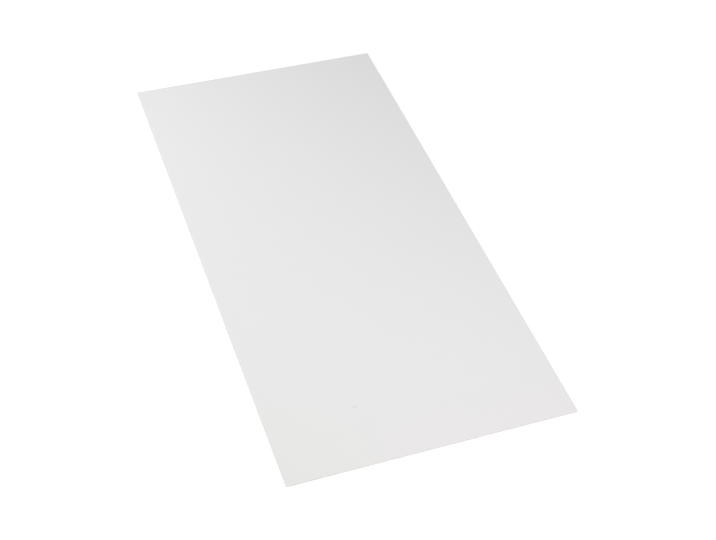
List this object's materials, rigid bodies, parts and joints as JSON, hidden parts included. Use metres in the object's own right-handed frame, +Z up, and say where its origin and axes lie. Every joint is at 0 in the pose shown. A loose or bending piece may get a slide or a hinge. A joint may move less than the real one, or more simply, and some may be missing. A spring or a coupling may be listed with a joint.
{
  "type": "poplar plywood sheet",
  "caption": "Thin rectangular poplar plywood sheet with a smooth white-coated upper face, for lining walls and ceilings, backing cabinets and drawer bottoms.",
  "frame": {"origin": "centre of the underside, on the surface that the sheet lies on", "axes": "+X along the length and the grain of both faces, +Y across the width, +Z up out of the white-coated face"},
  "size_m": [2.5, 1.22, 0.003],
  "materials": {
    "white_coated_poplar": "smooth satin white coat on the upper face; sawn edges and underside bare poplar"
  },
  "bodies": {
    "root": {"plywood_sheet": "white_coated_poplar"}
  },
  "joints": []
}
